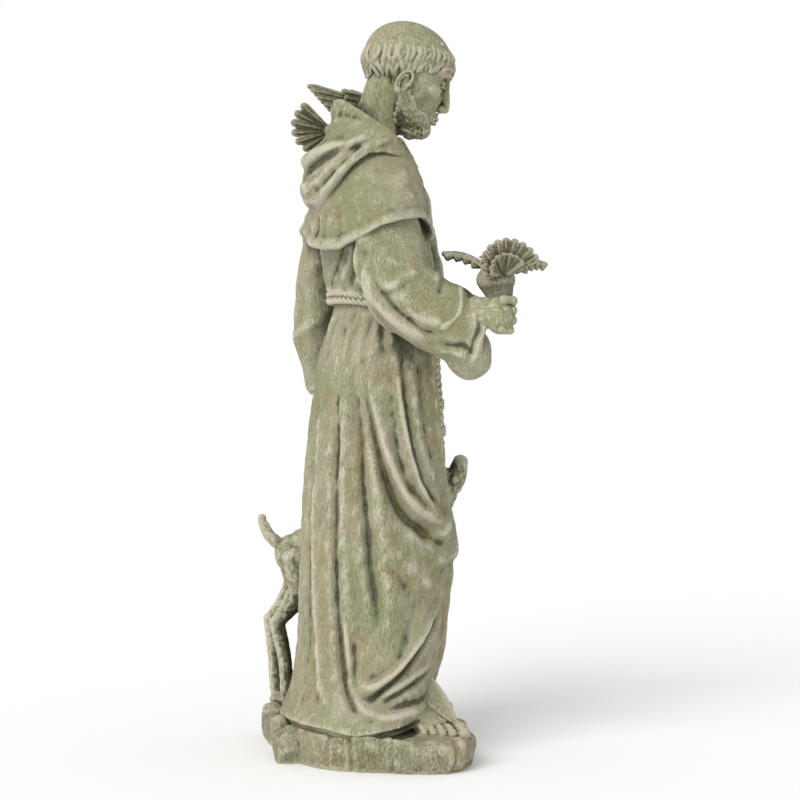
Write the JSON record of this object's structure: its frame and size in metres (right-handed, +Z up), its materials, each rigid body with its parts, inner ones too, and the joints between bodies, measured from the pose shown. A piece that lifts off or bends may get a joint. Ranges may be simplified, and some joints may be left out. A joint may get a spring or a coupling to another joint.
{
  "type": "saint francis statue",
  "caption": "Standing robed friar garden statue with a bird on the hand and shoulder, a fawn at the side and a rocky base.",
  "frame": {"origin": "on the flat underside, near its centre and below the standing figure", "axes": "+Z up, the figure faces -Y, its right hand is on the -X side and the fawn on the +X side"},
  "size_m": [0.4187, 0.3265, 0.9498],
  "materials": {
    "cast_stone": "matt, weathered, green-grey with pale rubbed ridges"
  },
  "bodies": {
    "root": {"friar_statue": "cast_stone"}
  },
  "joints": []
}
